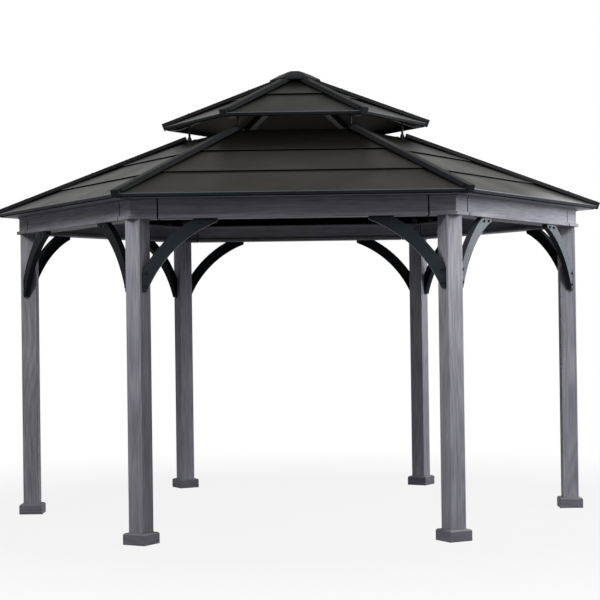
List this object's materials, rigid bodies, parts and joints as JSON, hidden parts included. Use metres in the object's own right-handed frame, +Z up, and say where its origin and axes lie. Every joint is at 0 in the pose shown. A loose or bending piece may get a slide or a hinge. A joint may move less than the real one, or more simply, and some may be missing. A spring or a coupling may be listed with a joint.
{
  "type": "garden gazebo",
  "caption": "Open six-sided garden gazebo: grey-stained wood posts and beam ring, curved steel knee braces and a vented two-tier hip roof of lapped steel courses.",
  "frame": {"origin": "centre of the six-sided plan, on the ground", "axes": "+Z up, +X through a post along the longest width, -Y out of the bay that faces the picture's camera"},
  "size_m": [4.629, 4.037, 3.3538],
  "materials": {
    "stained_wood": "semi-transparent grey stain, satin",
    "brace_steel": "dark grey powder coat",
    "frame_steel": "dark grey powder coat",
    "roof_sheet": "brown-grey coated steel sheet",
    "trim_steel": "dark blue-grey coated steel trim"
  },
  "bodies": {
    "root": {"post_1": "stained_wood", "base_1": "stained_wood", "corner_1": "stained_wood", "beam_1": "stained_wood", "braces_1": "brace_steel", "post_2": "stained_wood", "base_2": "stained_wood", "corner_2": "stained_wood", "beam_2": "stained_wood", "braces_2": "brace_steel", "post_3": "stained_wood", "base_3": "stained_wood", "corner_3": "stained_wood", "beam_3": "stained_wood", "braces_3": "brace_steel", "post_4": "stained_wood", "base_4": "stained_wood", "corner_4": "stained_wood", "beam_4": "stained_wood", "braces_4": "brace_steel", "post_5": "stained_wood", "base_5": "stained_wood", "corner_5": "stained_wood", "beam_5": "stained_wood", "braces_5": "brace_steel", "post_6": "stained_wood", "base_6": "stained_wood", "corner_6": "stained_wood", "beam_6": "stained_wood", "braces_6": "brace_steel", "hip_rafters": "frame_steel", "opening_bars": "frame_steel", "stanchions": "frame_steel", "hub": "frame_steel", "upper_rafters": "frame_steel", "course_low": "roof_sheet", "course_mid": "roof_sheet", "course_top": "roof_sheet", "upper_course_low": "roof_sheet", "upper_course_top": "roof_sheet", "eave_trim": "trim_steel", "hip_caps": "trim_steel", "upper_trim": "trim_steel", "upper_hip_caps": "trim_steel", "finial_cap": "trim_steel"}
  },
  "joints": []
}
